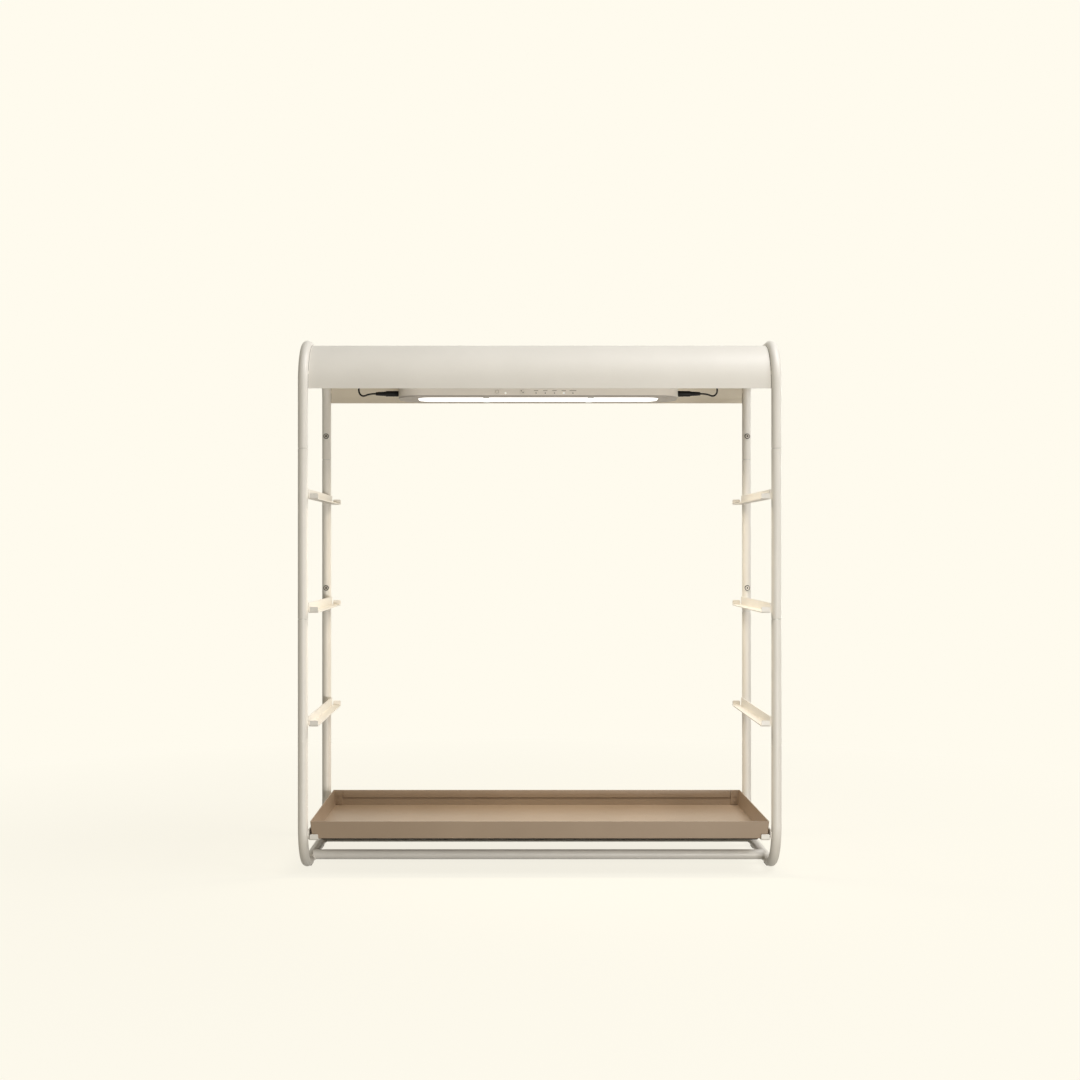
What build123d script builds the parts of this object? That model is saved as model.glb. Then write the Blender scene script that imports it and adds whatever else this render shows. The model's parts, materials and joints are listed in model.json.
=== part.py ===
from build123d import *
import math
import os

# Tabletop grow light garden: two side loops of bent tube carry a sheet hood with a light panel,
# four pairs of tray ledges and a lift-out tray. Millimetres, +Z up, front towards -Y, and the
# origin is on the table under the middle of the frame. Heights count from the loops' lowest point.

# Side loops of round tube
tube_diameter = 12.7
tube_wall = 1.2
loop_spacing = 596.6
loop_depth = 252.0
loop_height = 678.3
bend_radius = 53.0
upper_joint_drop = 142.3
lower_joint_height = 321.0
seam_gap = 0.4
seam_chamfer = 0.5
weld_gap = 0.05

# Foot pads under the loops
pad_drop = 1.0
pad_width = 7.0
pad_length = 24.0
pad_side_height = 2.0
pad_corner_radius = 1.5
pad_inset = 15.0

# Sleeves inside the tube joints and the screws that lock them
sleeve_clearance = 0.1
sleeve_wall = 1.5
sleeve_reach = 45.0
joint_screw_rise = 33.0
joint_screw_diameter = 4.0
joint_screw_head_diameter = 7.6
joint_screw_head_height = 2.2
joint_screw_length = 6.0
joint_screw_socket = 2.5
joint_screw_socket_depth = 1.2
spot_face_depth = 0.6
screw_clearance = 0.1
screw_crown_share = 0.6

# Crossbars between the bottom arches
front_bar_inset = 17.6
rear_bar_inset = 6.4
bar_rise = 4.6
bar_end_wall = 1.2

# Tray ledges: sheet angles with upturned end tabs
ledge_count = 4
first_ledge_height = 43.0
top_ledge_drop = 64.0
ledge_sheet = 1.5
ledge_width = 13.1
ledge_flange_height = 12.5
ledge_tab_overhang = 2.5
ledge_tab_gap = 2.6
ledge_tab_height = 7.5
ledge_tab_corner = 1.5
ledge_corner_cut = 4.0
ledge_fold_radius = 2.0

# Folded sheet tray
tray_height = 22.0
tray_flare = 2.2
tray_sheet = 1.0
tray_flange_clearance = 3.6
tray_tab_clearance = 2.0
tray_seat_gap = 0.05
tray_fold_radius = 1.2
tray_hem = 10.0
tray_hem_gap = 0.6
tray_flap_width = 10.6
tray_flap_cut = 4.5
tray_flap_margin = 0.9
rivet_diameter = 1.8
rivet_head_diameter = 2.8
rivet_head_height = 0.7
rivet_depth = 1.6
rivet_clearance = 0.05
rivet_height_shares = (0.3, 0.62)
rivet_place_share = 0.4

# Anti-slip strips under the tray's front and rear edges
strip_height = 1.8
strip_width = 8.0
strip_corner_radius = 3.0
strip_edge_round = 0.6
strip_setback = 3.0
strip_end_clearance = 3.0
strip_gap = 0.05

# Sheet hood bent along the loops' axis line
hood_sheet = 1.0
hood_end_gap = 0.35
hood_front_drop = 60.1
hood_rear_drop = 55.9
hood_hem = 5.8
hood_tab_height = 4.0
hood_tab_drop = 40.0
hood_tape_gap = 0.02

# Clips that carry the hood on the arches, with studs and nuts
clip_sheet = 2.0
clip_width = 20.0
clip_reach = 18.0
clip_inset = 28.0
stud_diameter = 4.0
stud_length = 8.0
stud_inset = 9.0
nut_size = 7.0
nut_height = 3.2

# Light panel: housing, bezel and diffuser
panel_end_clearance = 105.6
panel_depth = 84.0
panel_corner_radius = 31.5
panel_wall = 2.0
panel_top_round = 2.5
panel_drop = 2.6
bezel_thickness = 2.0
bezel_round = 0.8
diffuser_end_margin = 26.0
diffuser_side_margin = 11.5
diffuser_corner_radius = 18.0
diffuser_recess = 0.3
diffuser_lip = 4.0
diffuser_lip_thickness = 1.5
diffuser_clearance = 0.2
diffuser_clip_spacing = 138.0
diffuser_clip_width = 8.0
diffuser_clip_reach = 2.5
diffuser_clip_foot = 3.0
diffuser_clip_thickness = 0.8

# Light board with its chips
board_end_clearance = 15.0
board_side_margin = 1.5
board_thickness = 1.6
board_standoff = 4.0
board_boss_diameter = 6.0
board_screw_count = 4
board_screw_inset = 14.0
board_screw_diameter = 2.5
board_screw_head_diameter = 4.6
board_screw_head_height = 1.6
board_screw_length = 5.0
board_screw_socket = 1.5
board_screw_socket_depth = 0.8
chip_length = 3.5
chip_width = 2.8
chip_height = 0.8
chip_columns = 22
chip_rows = 4
chip_end_inset = 12.2
chip_side_inset = 8.0

# Bezel screws in the panel's rounded ends
bezel_screw_end_inset = 18.0
bezel_screw_spacing = 44.0
bezel_boss_diameter = 6.0
bezel_screw_diameter = 2.5
bezel_screw_head_diameter = 4.6
bezel_screw_head_height = 1.0
bezel_screw_length = 7.0
bezel_screw_socket = 1.5
bezel_screw_socket_depth = 0.6
bezel_screw_recess = 1.2

# Hangers between the hood's ceiling and the panel
hanger_inset = 76.0
hanger_width = 24.0
hanger_sheet = 1.5
hanger_flange = 40.0
hanger_fold_radius = 2.0
hanger_boss_diameter = 7.0
hanger_boss_depth = 2.5
hanger_screw_spacing = 20.0
hanger_screw_diameter = 3.0
hanger_screw_head_diameter = 5.5
hanger_screw_head_height = 2.0
hanger_screw_length = 5.5
hanger_screw_socket = 2.0
hanger_screw_socket_depth = 1.0

# Buttons, switches and indicator lights on the panel's front
control_height = 6.8
power_button_x = -54.6
mode_button_x = -21.5
button_diameter = 6.6
button_edge_round = 0.3
button_flange = 0.9
button_flange_thickness = 1.0
button_clearance = 0.2
button_rest_gap = 0.1
button_travel = 0.8
button_stem_diameter = 3.0
button_stem_entry = 0.4
switch_size = 6.0
switch_depth = 2.8
switch_bore_depth = 2.2
switch_bore_clearance = 0.1
control_board_length = 122.0
control_board_lip_gap = 0.6
control_board_thickness = 1.2
control_board_gap = 0.1
control_rib_width = 3.0
control_rib_depth = 2.5
control_rib_height = 6.0
indicator_height = 4.9
indicator_diameter = 1.6
indicator_clearance = 0.1
power_light_x = -43.4
first_light_x = -3.3
light_pitch = 12.1
light_count = 5

# Power jacks in the panel's ends and the plugs in them
jack_length = 14.0
jack_width = 9.0
jack_height = 10.5
jack_room = 0.75
jack_collar_diameter = 8.0
jack_collar_clearance = 0.1
jack_bore_diameter = 5.7
jack_bore_depth = 9.8
jack_pin_diameter = 2.0
jack_pin_setback = 1.0
plug_gap = 0.3
plug_barrel_diameter = 5.5
plug_barrel_bore = 2.3
plug_barrel_length = 9.5
plug_grip_diameter = 7.5
plug_grip_length = 18.0
plug_relief_diameter = 5.6
plug_tip_diameter = 4.6
plug_length = 31.0
plug_round = 0.7

# Power sockets under the hood's ceiling and the leads up to them
socket_width = 16.0
socket_length = 26.0
socket_height = 15.0
socket_corner_radius = 2.0
boot_length = 7.0
boot_diameter = 7.0
boot_tip_diameter = 4.4
socket_reach = 21.9
socket_setback = 7.0
lead_diameter = 2.3
lead_entry_run = 8.95
lead_turns = (
    (9.0, 0.0, 0.0),
    (17.5, 1.2, -4.05),
    (23.5, 3.0, 1.35),
    (23.1, 5.2, 10.55),
)
arc_share = 0.45

# Alignments of solids that stand on, or hang from, their place
stand = (Align.CENTER, Align.CENTER, Align.MIN)
hang = (Align.CENTER, Align.CENTER, Align.MAX)

# Signs of the two sides and the two ends
sides = (("left", -1), ("right", 1))
ends = (("front", -1), ("rear", 1))
corners = tuple((side, end) for _, side in sides for _, end in ends)

# Places worked out from the sizes
tube_radius = tube_diameter / 2
tube_bore = tube_radius - tube_wall
loop_x = loop_spacing / 2
loop_y = loop_depth / 2
loop_inner_x = loop_x - tube_radius
loop_straight_y = loop_y - bend_radius
weld_x = loop_inner_x - weld_gap
bottom_axis_z = pad_drop + tube_radius
top_axis_z = pad_drop + loop_height - tube_radius
upper_joint_z = pad_drop + loop_height - upper_joint_drop
lower_joint_z = pad_drop + lower_joint_height
sleeve_radius = tube_bore - sleeve_clearance
screw_seat = tube_radius - spot_face_depth
first_ledge_z = pad_drop + first_ledge_height
ledge_pitch = (upper_joint_z - top_ledge_drop - first_ledge_z) / (ledge_count - 1)
ledge_tab_y = loop_y + ledge_tab_overhang
hood_ceiling_z = top_axis_z - hood_sheet
hood_front_z = top_axis_z - hood_front_drop
hood_rear_z = top_axis_z - hood_rear_drop
hood_half = loop_inner_x - hood_end_gap
ledge_tab_width = ledge_width - ledge_tab_gap
pad_spacing = 2 * (loop_straight_y - pad_inset)
clip_spacing = 2 * (loop_straight_y - clip_inset)
panel_length = 2 * (hood_half - panel_end_clearance)
panel_height = bezel_thickness + jack_height + 2 * jack_room + panel_wall
diffuser_length = panel_length - 2 * diffuser_end_margin
diffuser_depth = panel_depth - 2 * diffuser_side_margin
board_length = panel_length - 2 * (panel_wall + jack_length + board_end_clearance)
board_depth = diffuser_depth - 2 * board_side_margin
board_screw_pitch = (board_length - 2 * board_screw_inset) / (board_screw_count - 1)
chip_column_pitch = (board_length - 2 * chip_end_inset) / (chip_columns - 1)
chip_row_pitch = (board_depth - 2 * chip_side_inset) / (chip_rows - 1)
hanger_spacing = panel_length - 2 * hanger_inset
panel_bottom_z = hood_front_z - panel_drop
panel_top_z = panel_bottom_z + panel_height
panel_end_x = panel_length / 2
panel_front_y = -panel_depth / 2
housing_bottom_z = panel_bottom_z + bezel_thickness
housing_ceiling_z = panel_top_z - panel_wall
board_top_z = housing_ceiling_z - board_standoff
board_bottom_z = board_top_z - board_thickness
control_z = panel_bottom_z + control_height
control_board_bottom_z = housing_bottom_z + diffuser_lip_thickness + control_board_lip_gap
control_board_top_z = housing_ceiling_z - control_board_gap
indicator_z = panel_bottom_z + indicator_height
flange_y = panel_front_y + panel_wall + button_rest_gap
switch_y = flange_y + button_flange_thickness + button_travel + button_rest_gap
control_board_y = switch_y + switch_depth
jack_z = panel_bottom_z + panel_height / 2
plug_tail_x = panel_end_x + plug_gap + plug_length
socket_x = plug_tail_x + socket_reach
socket_bottom_z = hood_ceiling_z - socket_height
boot_tip_z = socket_bottom_z - boot_length
touch = tube_wall / 100

os.makedirs("parts", exist_ok=True)


def keep(block, name):
    """Labels a finished piece and writes its file."""
    block.part.label = name
    export_step(block.part, f"parts/{name}.step")


def edges_at(block, axis, **place):
    """Straight edges along an axis whose middles have the given coordinates."""

    def here(edge):
        middle = edge.center()
        return all(abs(getattr(middle, key) - value) < touch for key, value in place.items())

    return block.edges().filter_by(axis).filter_by(here)


def make_screw(shank, head, head_height, length, socket, socket_depth):
    """A round-headed socket screw with its seat on z = 0 and its shank below."""
    with BuildPart() as screw:
        Cylinder(head / 2, head_height, align=stand)
        fillet(screw.edges().group_by(Axis.Z)[-1], head_height * screw_crown_share)
        Cylinder(shank / 2, length, align=hang)
        with BuildSketch(Plane.XY.offset(head_height)):
            RegularPolygon(socket / 2, side_count=6, major_radius=False)
        extrude(amount=-socket_depth, mode=Mode.SUBTRACT)
    return screw.part


# Side loops: arches, uprights, sleeves and screws


def screw_planes(side, joint_z):
    """Planes on the axes of a loop's two uprights above a joint, facing the inside of the loop."""
    height = joint_z + joint_screw_rise
    return [
        Plane(origin=(side * loop_x, end * loop_y, height), z_dir=(0, -end, 0))
        for _, end in ends
    ]


def drill_screw_holes(side, joint_z):
    """Cuts the screws' holes and spot faces from the tube that is being built."""
    planes = screw_planes(side, joint_z)
    with Locations(*planes):
        hole_radius = joint_screw_diameter / 2 + screw_clearance
        Cylinder(hole_radius, tube_radius, align=stand, mode=Mode.SUBTRACT)
    with Locations(*[plane.offset(screw_seat) for plane in planes]):
        face_radius = joint_screw_head_diameter / 2 + screw_clearance
        Cylinder(face_radius, tube_radius, align=stand, mode=Mode.SUBTRACT)


def chamfer_tube_ends(tube):
    """Breaks the outer edges of a tube's two flat ends."""
    faces = tube.faces().filter_by(GeomType.PLANE)
    rims = [edge for face in faces for edge in face.outer_wire().edges()]
    chamfer(rims, seam_chamfer)


def make_arch(side, joint_z, crown_z, end_z):
    """A tube bent twice, from one joint over its crown, or under it, to the other joint."""
    plane = Plane.YZ.offset(side * loop_x)
    with BuildPart() as arch:
        with BuildLine(plane) as path:
            FilletPolyline(
                (-loop_y, end_z), (-loop_y, crown_z), (loop_y, crown_z), (loop_y, end_z),
                radius=bend_radius,
            )
        with BuildSketch(Plane(origin=path.line @ 0, z_dir=path.line % 0)):
            Circle(tube_radius)
            Circle(tube_bore, mode=Mode.SUBTRACT)
        sweep()
        chamfer_tube_ends(arch)
        if crown_z > joint_z:
            drill_screw_holes(side, joint_z)
    return arch


def make_upright(side, end):
    """A straight tube between the two joints of one upright."""
    low = lower_joint_z + seam_gap / 2
    high = upper_joint_z - seam_gap / 2
    with BuildPart() as upright:
        with BuildSketch(Plane.XY.offset(low)):
            with Locations((side * loop_x, end * loop_y)):
                Circle(tube_radius)
                Circle(tube_bore, mode=Mode.SUBTRACT)
        extrude(amount=high - low)
        chamfer_tube_ends(upright)
        drill_screw_holes(side, lower_joint_z)
    return upright


def make_sleeves(joint_z):
    """The four inner tubes that join the uprights at one level, drilled for the screws."""
    with BuildPart() as sleeves:
        with BuildSketch(Plane.XY.offset(joint_z - sleeve_reach)):
            with GridLocations(loop_spacing, loop_depth, 2, 2):
                Circle(sleeve_radius)
                Circle(sleeve_radius - sleeve_wall, mode=Mode.SUBTRACT)
        extrude(amount=2 * sleeve_reach)
        for _, side in sides:
            with Locations(*screw_planes(side, joint_z)):
                hole_radius = joint_screw_diameter / 2 + screw_clearance
                Cylinder(hole_radius, tube_radius, align=stand, mode=Mode.SUBTRACT)
    return sleeves


joint_screw = make_screw(
    joint_screw_diameter,
    joint_screw_head_diameter,
    joint_screw_head_height,
    joint_screw_length,
    joint_screw_socket,
    joint_screw_socket_depth,
)

for side_name, side in sides:
    keep(
        make_arch(side, upper_joint_z, top_axis_z, upper_joint_z + seam_gap / 2),
        f"top_arch_{side_name}",
    )
    keep(
        make_arch(side, lower_joint_z, bottom_axis_z, lower_joint_z - seam_gap / 2),
        f"bottom_arch_{side_name}",
    )
    for end_name, end in ends:
        keep(make_upright(side, end), f"{end_name}_upright_{side_name}")

for level_name, joint_z in (("upper", upper_joint_z), ("lower", lower_joint_z)):
    keep(make_sleeves(joint_z), f"{level_name}_connector_sleeves")
    seats = [
        plane.offset(screw_seat) for _, side in sides for plane in screw_planes(side, joint_z)
    ]
    with BuildPart() as joint_screws:
        with Locations(*seats):
            add(joint_screw)
    keep(joint_screws, f"{level_name}_joint_screws")

# Foot pads, hollowed to the tube

with BuildPart() as foot_pads:
    with GridLocations(loop_spacing, pad_spacing, 2, 2):
        Box(pad_width, pad_length, pad_side_height, align=stand)
    fillet(foot_pads.edges().filter_by(Axis.Z), pad_corner_radius)
    with Locations((-loop_x, 0, bottom_axis_z), (loop_x, 0, bottom_axis_z)):
        Cylinder(tube_radius + weld_gap, loop_depth, rotation=(90, 0, 0), mode=Mode.SUBTRACT)
keep(foot_pads, "foot_pads")

# Crossbars with closed ends, coped to the bottom arches

bar_half = loop_x - math.sqrt(tube_radius**2 - bar_rise**2)
bar_bore_half = bar_half - bar_end_wall

front_bar_y = front_bar_inset - loop_straight_y
rear_bar_y = loop_straight_y - rear_bar_inset

for end_name, bar_y in (("front", front_bar_y), ("rear", rear_bar_y)):
    with BuildPart() as crossbar:
        with BuildSketch(Plane.YZ.offset(-bar_half)):
            with Locations((bar_y, bottom_axis_z + bar_rise)):
                Circle(tube_radius)
        extrude(amount=2 * bar_half)
        with BuildSketch(Plane.YZ.offset(-bar_bore_half)):
            with Locations((bar_y, bottom_axis_z + bar_rise)):
                Circle(tube_bore)
        extrude(amount=2 * bar_bore_half, mode=Mode.SUBTRACT)
        with Locations((-loop_x, bar_y, bottom_axis_z), (loop_x, bar_y, bottom_axis_z)):
            Cylinder(
                tube_radius + weld_gap, 2 * tube_diameter, rotation=(90, 0, 0), mode=Mode.SUBTRACT
            )
    keep(crossbar, f"{end_name}_crossbar")

# Tray ledges


def ledge_z(level):
    """Height of a ledge's underside."""
    return first_ledge_z + level * ledge_pitch


def folded_angle(foot, fold, base, height):
    """Draws the section of a base from its foot to a fold, with a flange up from the fold."""
    face = fold + math.copysign(ledge_sheet, foot - fold)
    floor = base + ledge_sheet
    top = base + height
    with BuildLine() as outline:
        FilletPolyline((foot, base), (fold, base), (fold, top), radius=ledge_fold_radius)
        Line((fold, top), (face, top))
        FilletPolyline(
            (face, top), (face, floor), (foot, floor), radius=ledge_fold_radius - ledge_sheet
        )
        Line((foot, floor), (foot, base))
    make_face(outline.edges())


def make_ledge(side, level):
    """A base with a flange against the tubes and an upturned tab at each end."""
    base = ledge_z(level)
    outer = side * weld_x
    inner = side * (weld_x - ledge_width)
    tab_end = inner + side * ledge_tab_width
    fold_start = outer - side * ledge_fold_radius
    reach = ledge_tab_y + ledge_sheet
    straight = reach - ledge_corner_cut
    with BuildPart() as ledge:
        with BuildSketch(Plane.XZ.offset(-straight)):
            folded_angle(inner, outer, base, ledge_flange_height)
        extrude(amount=2 * straight)
        for _, end in ends:
            with BuildSketch(Plane.YZ.offset(min(inner, tab_end))):
                folded_angle(end * straight, end * reach, base, ledge_tab_height)
            extrude(amount=ledge_tab_width)
            with BuildSketch(Plane.XY.offset(base)):
                with BuildLine():
                    Polyline(
                        (tab_end, end * straight), (fold_start, end * straight),
                        (tab_end, end * (reach - ledge_fold_radius)),
                        close=True,
                    )
                make_face()
            extrude(amount=ledge_sheet)
        for corner_x in (inner, tab_end):
            fillet(edges_at(ledge, Axis.Y, X=corner_x, Z=base + ledge_tab_height), ledge_tab_corner)
    return ledge


for side_name, side in sides:
    for level in range(ledge_count):
        keep(make_ledge(side, level), f"ledge_{level + 1}_{side_name}")

# Tray with leaning walls, hems along its long walls and riveted corner flaps

tray_z = ledge_z(0) + ledge_sheet + tray_seat_gap
tray_rim_z = tray_z + tray_height
tray_half_x = weld_x - ledge_sheet - tray_flange_clearance
tray_half_y = ledge_tab_y - tray_tab_clearance
tray_slope = math.hypot(tray_height, tray_flare)


def tray_lean(height):
    """How far a wall has leaned out at a height."""
    return tray_flare * (height - tray_z) / tray_height


def tray_block(inset, low, mode):
    """A solid with the tray's leaning sides, drawn in by inset, from a height up to the rim."""
    sections = []
    for height in (low, tray_rim_z):
        lean = tray_lean(height) - inset
        with BuildSketch(Plane.XY.offset(height)) as section:
            Rectangle(2 * (tray_half_x + lean), 2 * (tray_half_y + lean))
        sections.append(section.sketch)
    loft(sections, mode=mode)


def tray_hem_strip(end):
    """Folds a strip of the sheet down inside a long wall."""
    low = tray_rim_z - tray_hem
    half = tray_half_x - tray_sheet - tray_flap_width - tray_hem_gap
    wall_high = tray_half_y + tray_lean(tray_rim_z) - tray_sheet / 2
    wall_low = tray_half_y + tray_lean(low) - tray_sheet / 2
    fold = tray_sheet * 3 / 2
    with BuildSketch(Plane.YZ.offset(-half)) as strip:
        with BuildLine():
            Polyline(
                (end * wall_high, tray_rim_z), (end * (wall_high - fold), tray_rim_z),
                (end * (wall_low - fold), low), (end * wall_low, low),
                close=True,
            )
        make_face()
    extrude(strip.sketch, amount=2 * half)


def flap_plane(end):
    """The inner face of a long wall, with its first direction along the wall and its second up."""
    return Plane(
        origin=(0, end * (tray_half_y - tray_sheet), tray_z),
        x_dir=(end, 0, 0),
        z_dir=(0, -end * tray_height, tray_flare),
    )


def tray_flaps(end):
    """Folds the ends of the side walls round on to the inside of a long wall."""
    low = tray_sheet + tray_flap_margin
    high = tray_slope - tray_flap_margin
    outer = tray_half_x - tray_sheet / 2
    inner = outer - tray_flap_width
    with BuildSketch(flap_plane(end).offset(-tray_sheet / 2)) as flaps:
        for side in (-1, 1):
            with BuildLine():
                Polyline(
                    (side * inner, low), (side * outer, low), (side * (outer + tray_flare), high),
                    (side * (inner + tray_flap_cut), high), (side * inner, high - tray_flap_cut),
                    close=True,
                )
            make_face()
    extrude(flaps.sketch, amount=tray_sheet * 3 / 2)


rivet_u = tray_half_x - tray_sheet - tray_flap_width * rivet_place_share
rivet_places = [
    (side * rivet_u, tray_slope * share) for side in (-1, 1) for share in rivet_height_shares
]


def rivet_discs(end, radius):
    """Discs at a long wall's rivets, drawn on the faces of its flaps."""
    with BuildSketch(flap_plane(end).offset(tray_sheet)) as discs:
        with Locations(*rivet_places):
            Circle(radius)
    return discs.sketch


with BuildPart() as tray_pan:
    tray_block(0, tray_z, Mode.ADD)
    rim = tray_pan.edges().group_by(Axis.Z)[-1]
    fillet([edge for edge in tray_pan.edges() if edge not in rim], tray_fold_radius)
    tray_block(tray_sheet, tray_z + tray_sheet, Mode.SUBTRACT)
    for _, end in ends:
        tray_hem_strip(end)
        tray_flaps(end)
        holes = rivet_discs(end, rivet_diameter / 2 + rivet_clearance)
        extrude(holes, amount=-rivet_depth - rivet_clearance, mode=Mode.SUBTRACT)
keep(tray_pan, "tray_pan")

with BuildPart() as tray_rivets:
    for _, end in ends:
        extrude(rivet_discs(end, rivet_head_diameter / 2), amount=rivet_head_height)
        extrude(rivet_discs(end, rivet_diameter / 2), amount=-rivet_depth)
keep(tray_rivets, "tray_rivets")

with BuildPart() as tray_strips:
    strip_length = 2 * (weld_x - ledge_width - strip_end_clearance)
    strip_y = tray_half_y - strip_setback - strip_width / 2
    with BuildSketch(Plane.XY.offset(tray_z - strip_gap)):
        with Locations(*[(0, end * strip_y) for _, end in ends]):
            RectangleRounded(strip_length, strip_width, strip_corner_radius)
    extrude(amount=-strip_height)
    fillet(tray_strips.edges().group_by(Axis.Z)[0], strip_edge_round)
keep(tray_strips, "tray_strips")

# Hood, with hems, small end tabs against the tubes and studs for its clips


def hood_outline(inset, mode=Mode.ADD):
    """Fills the hood's cross-section, drawn in from the loops' axis line."""
    half = loop_y - inset
    top = top_axis_z - inset
    with BuildLine() as outline:
        FilletPolyline(
            (-half, hood_front_z), (-half, top), (half, top), (half, hood_front_z),
            radius=bend_radius - inset,
        )
        Line((half, hood_front_z), (-half, hood_front_z))
    make_face(outline.edges(), mode=mode)


def hood_skin():
    """The bent sheet's section, with its rear skirt cut shorter."""
    hood_outline(0)
    hood_outline(hood_sheet, Mode.SUBTRACT)
    with Locations((loop_y, hood_front_z)):
        Rectangle(bend_radius, 2 * (hood_front_drop - hood_rear_drop), mode=Mode.SUBTRACT)


def hood_hem_strip(end, low):
    """The hem's section along the inside of one skirt."""
    hood_outline(hood_sheet)
    hood_outline(2 * hood_sheet, Mode.SUBTRACT)
    with Locations((end * loop_y, low + hood_hem / 2)):
        Rectangle(bend_radius, hood_hem, mode=Mode.INTERSECT)


stud_x = hood_half - stud_inset
stud_places = [(side * stud_x, end * clip_spacing / 2) for side, end in corners]

with BuildPart() as hood_shell:
    with BuildSketch(Plane.YZ.offset(-hood_half)):
        hood_skin()
    extrude(amount=2 * hood_half)
    with BuildSketch(Plane.YZ.offset(-weld_x)):
        hood_skin()
        with Locations((0, top_axis_z - hood_tab_drop)):
            Rectangle(2 * loop_depth, hood_tab_height, mode=Mode.INTERSECT)
    extrude(amount=2 * weld_x)
    for end, low in ((-1, hood_front_z), (1, hood_rear_z)):
        with BuildSketch(Plane.YZ.offset(-hood_half)):
            hood_hem_strip(end, low)
        extrude(amount=2 * hood_half)
    with BuildSketch(Plane.XY.offset(hood_ceiling_z)):
        with Locations(*stud_places):
            Circle(stud_diameter / 2)
    extrude(amount=-stud_length)
keep(hood_shell, "hood_shell")

# Thin dark tape between the hood's ends and the tubes, left out at the tabs
with BuildPart() as hood_tapes:
    for _, side in sides:
        with BuildSketch(Plane.YZ.offset(side * (hood_half + hood_tape_gap))):
            hood_skin()
            with Locations((0, top_axis_z - hood_tab_drop)):
                Rectangle(2 * loop_depth, hood_tab_height + 2 * hood_tape_gap, mode=Mode.SUBTRACT)
        extrude(amount=side * (weld_x - hood_half - hood_tape_gap))
keep(hood_tapes, "hood_tapes")

with BuildPart() as hood_clips:
    clip_length = clip_reach + tube_radius
    with Locations(
        *[
            (side * (loop_x - clip_length / 2), end * clip_spacing / 2, hood_ceiling_z)
            for side, end in corners
        ]
    ):
        Box(clip_length, clip_width, clip_sheet, align=hang)
    with Locations((-loop_x, 0, top_axis_z), (loop_x, 0, top_axis_z)):
        Cylinder(tube_radius + weld_gap, loop_depth, rotation=(90, 0, 0), mode=Mode.SUBTRACT)
    with BuildSketch(Plane.XY.offset(hood_ceiling_z)):
        with Locations(*stud_places):
            Circle(stud_diameter / 2 + screw_clearance)
    extrude(amount=-clip_sheet, mode=Mode.SUBTRACT)
keep(hood_clips, "hood_clips")

with BuildPart() as hood_nuts:
    with BuildSketch(Plane.XY.offset(hood_ceiling_z - clip_sheet)):
        with Locations(*stud_places):
            RegularPolygon(nut_size / 2, side_count=6, major_radius=False)
            Circle(stud_diameter / 2 + screw_clearance, mode=Mode.SUBTRACT)
    extrude(amount=-nut_height)
keep(hood_nuts, "hood_nuts")

# Hangers that carry the panel under the hood

hanger_places = [
    (side * hanger_spacing / 2, end * hanger_screw_spacing / 2) for side, end in corners
]

for side_name, side in sides:
    half = hanger_flange / 2
    web = hanger_sheet - half
    with BuildPart() as hanger:
        with BuildSketch(Plane.YZ.offset(side * hanger_spacing / 2 - hanger_width / 2)):
            with BuildLine():
                Polyline(
                    (half, panel_top_z), (half, panel_top_z + hanger_sheet),
                    (web, panel_top_z + hanger_sheet), (web, hood_ceiling_z - hanger_sheet),
                    (half, hood_ceiling_z - hanger_sheet), (half, hood_ceiling_z),
                    (-half, hood_ceiling_z), (-half, panel_top_z),
                    close=True,
                )
            make_face()
        extrude(amount=hanger_width)
        for height, inward in ((panel_top_z, 1), (hood_ceiling_z, -1)):
            fillet(edges_at(hanger, Axis.X, Y=-half, Z=height), hanger_fold_radius)
            fillet(
                edges_at(hanger, Axis.X, Y=web, Z=height + inward * hanger_sheet),
                hanger_fold_radius - hanger_sheet,
            )
        with BuildSketch(Plane.XY.offset(panel_top_z)):
            with Locations(*hanger_places):
                Circle(hanger_screw_diameter / 2 + screw_clearance)
        extrude(amount=hanger_sheet, mode=Mode.SUBTRACT)
    keep(hanger, f"panel_hanger_{side_name}")

hanger_screw = make_screw(
    hanger_screw_diameter,
    hanger_screw_head_diameter,
    hanger_screw_head_height,
    hanger_screw_length,
    hanger_screw_socket,
    hanger_screw_socket_depth,
)

with BuildPart() as hanger_screws:
    with Locations(*[(x, y, panel_top_z + hanger_sheet) for x, y in hanger_places]):
        add(hanger_screw)
keep(hanger_screws, "hanger_screws")

# Light panel housing, open below, with bosses, ribs and holes

board_screw_places = [
    ((number - (board_screw_count - 1) / 2) * board_screw_pitch, 0)
    for number in range(board_screw_count)
]
bezel_screw_places = [
    (side * (panel_end_x - bezel_screw_end_inset), end * bezel_screw_spacing / 2)
    for side, end in corners
]
light_places = [power_light_x] + [first_light_x + n * light_pitch for n in range(light_count)]
button_places = [power_button_x, mode_button_x]
rib_places = [side * (control_board_length - control_rib_width) / 2 for _, side in sides]


def front_plane(y):
    """A plane across the panel's front, looking back, with its second direction up."""
    return Plane(origin=(0, y, 0), x_dir=(1, 0, 0), z_dir=(0, -1, 0))


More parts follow.
